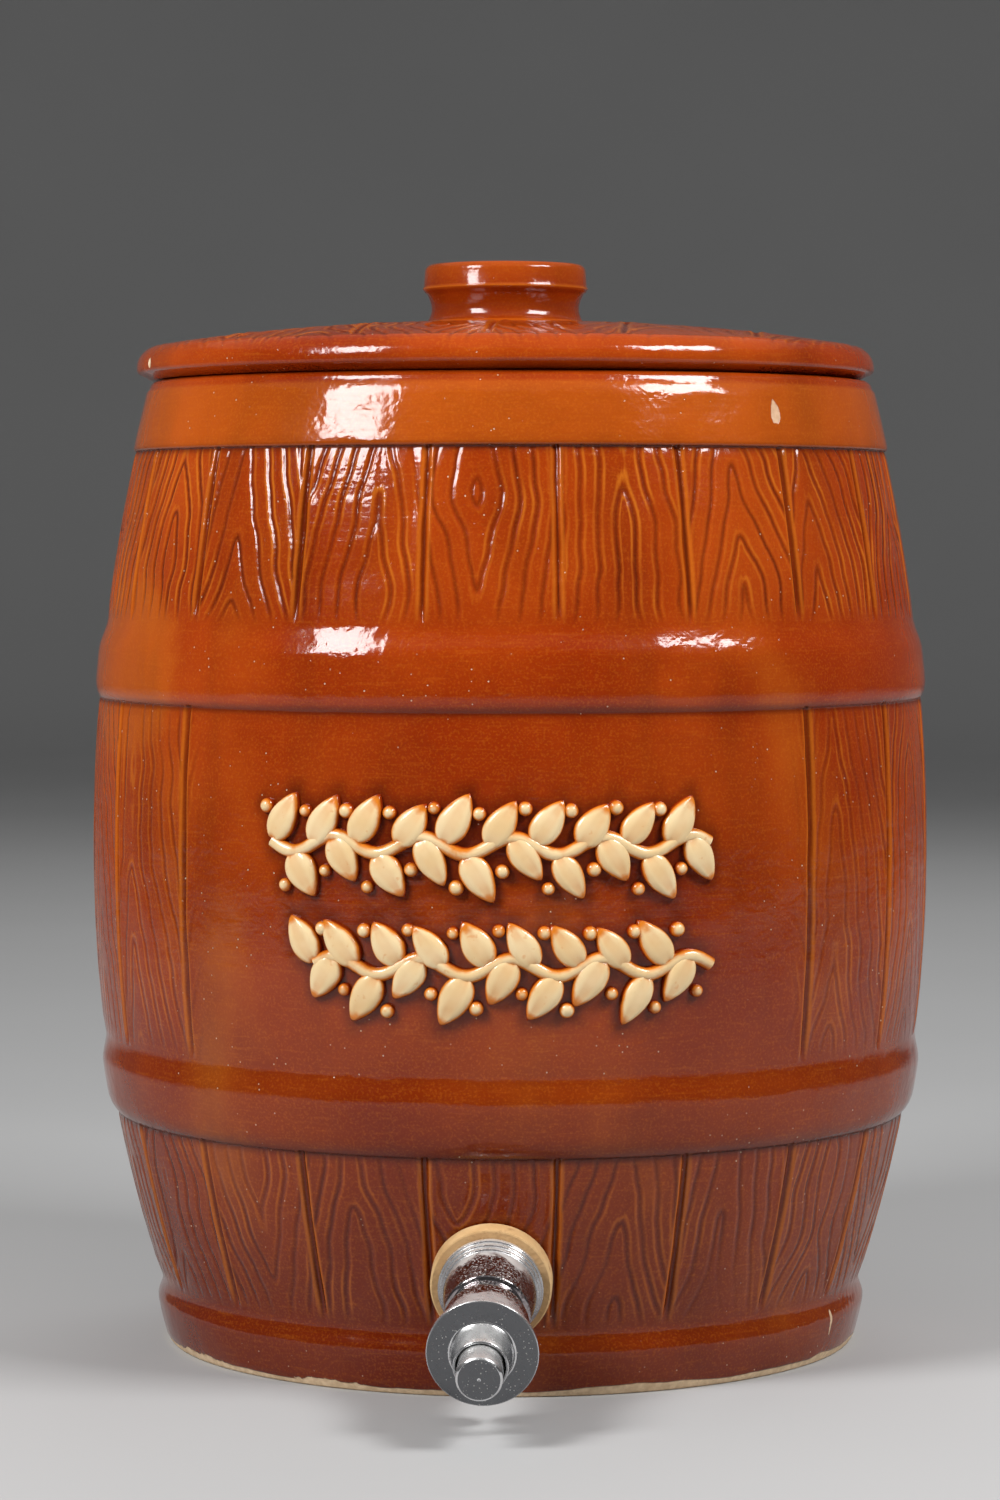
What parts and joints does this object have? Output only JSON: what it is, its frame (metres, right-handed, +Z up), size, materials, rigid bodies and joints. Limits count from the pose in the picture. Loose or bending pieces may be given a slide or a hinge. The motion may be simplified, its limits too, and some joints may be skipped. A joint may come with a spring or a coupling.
{
  "type": "stoneware drink crock with tap",
  "caption": "Stoneware drink crock moulded as a staved cask with hoops, a loose lid with a knob, and a chromed self-closing push-button tap low in its front.",
  "frame": {"origin": "the middle of the jar's foot, on the surface it stands on", "axes": "+Z up along the jar's axis, -Y out of the front, where the tap is, +X to the right seen from the front"},
  "size_m": [0.252, 0.3065, 0.3239],
  "materials": {
    "glaze": "glossy caramel-brown glaze over moulded stoneware, unglazed foot edge",
    "lid_glaze": "glossy caramel-brown glaze over moulded stoneware",
    "fibre": "matt tan fibre",
    "gasket": "matt",
    "chrome": "polished chrome plate over brass, lightly worn",
    "button_chrome": "polished chrome plate, face brushed by use",
    "brass": "turned, dull",
    "spring_steel": "drawn wire",
    "washer_steel": "stamped",
    "rubber": "matt black"
  },
  "bodies": {
    "jar": {"barrel": "glaze", "outer_washer": "fibre", "tap_body": "chrome", "bonnet_gasket": "gasket", "tap_bonnet": "chrome", "return_spring": "spring_steel", "stem_packing": "rubber", "packing_nut": "brass", "inner_washer": "rubber", "shank_washer": "washer_steel", "lock_nut": "chrome"},
    "plunger": {"push_button": "button_chrome", "valve_stem": "brass", "valve_washer": "rubber", "valve_cup": "brass", "valve_nut": "brass"},
    "lid": {"lid": "lid_glaze"}
  },
  "joints": [
    {"name": "button_press", "type": "slide", "parent": "jar", "child": "plunger", "axis": [0, 0.9763, 0.2164], "range_m": [0, 0.006], "stiffness_N_per_m": 800, "springref_m": -0.004, "deforming": ["return_spring"]},
    {"name": "lid_lift", "type": "slide", "parent": "jar", "child": "lid", "axis": [0, 0, 1], "range_m": [0, 0.1]}
  ]
}
